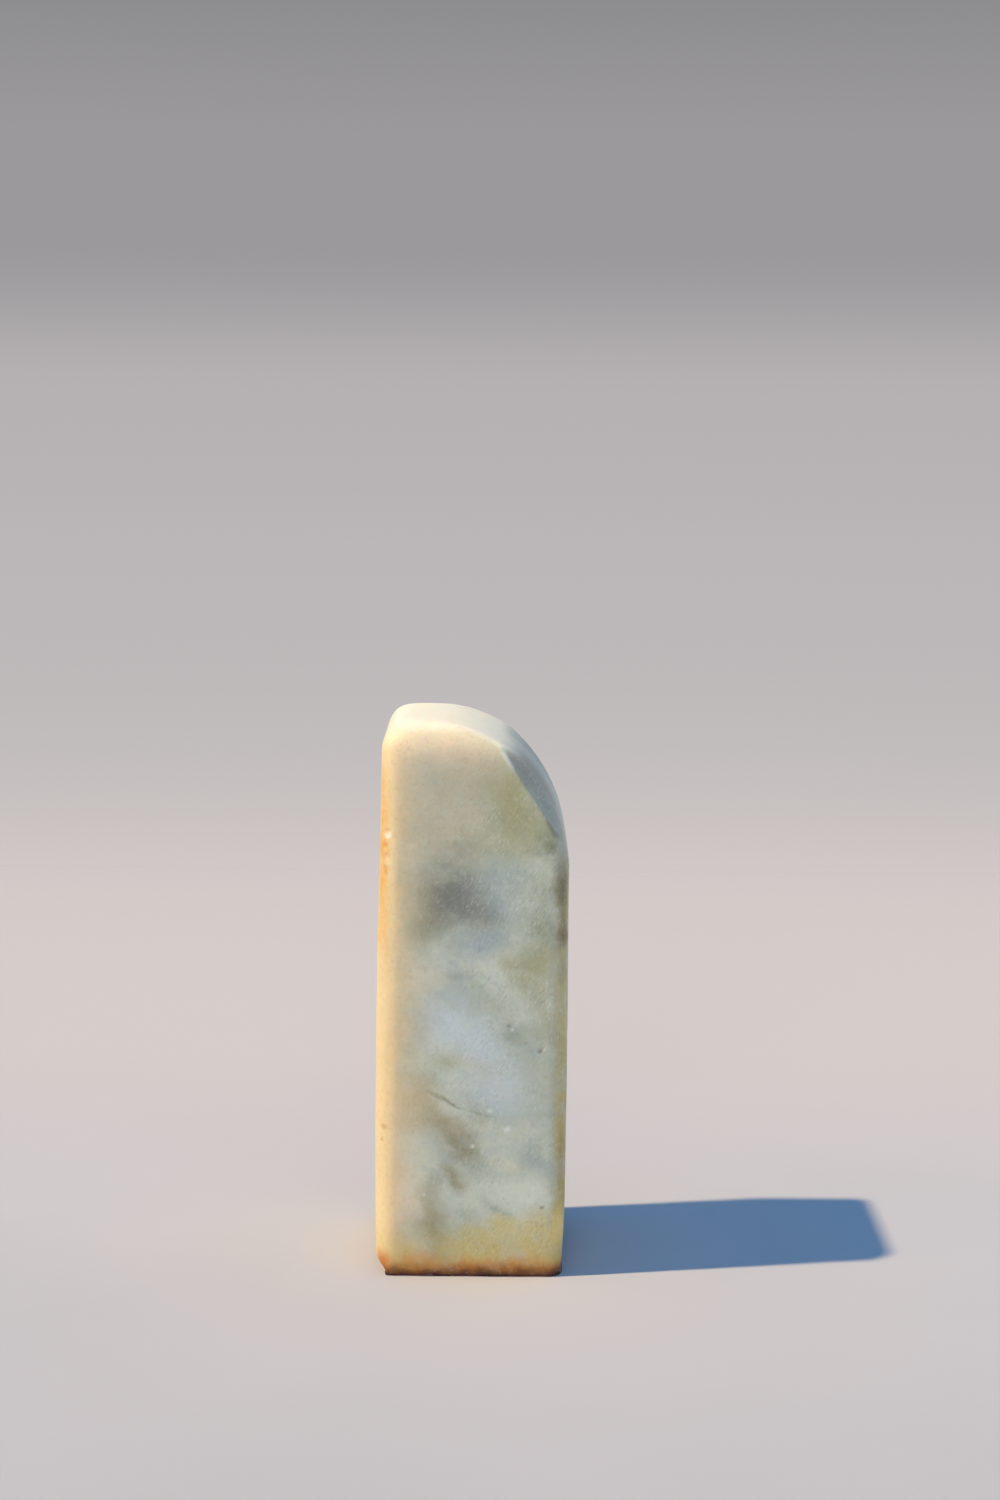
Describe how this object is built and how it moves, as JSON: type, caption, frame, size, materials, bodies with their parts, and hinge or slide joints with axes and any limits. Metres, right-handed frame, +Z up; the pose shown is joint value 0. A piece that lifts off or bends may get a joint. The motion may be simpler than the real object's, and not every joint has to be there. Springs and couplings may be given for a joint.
{
  "type": "seal stamp",
  "caption": "Upright square column of carved soft stone with rounded edges and one sloping shoulder, with a carved square seal face under its foot.",
  "frame": {"origin": "centre of the foot, on the plane of the carved seal face that it stands on", "axes": "+Z up along the column, -Y out of the broad cloudy side, +X out of the side with the sloping shoulder"},
  "size_m": [0.0201, 0.0202, 0.058],
  "materials": {
    "stone": "satin",
    "paste": "matte",
    "dried_paste": "matte"
  },
  "bodies": {
    "root": {"seal_stone": "stone", "seal_paste_in_cuts": "paste", "seal_paste_on_foot": "dried_paste"}
  },
  "joints": []
}
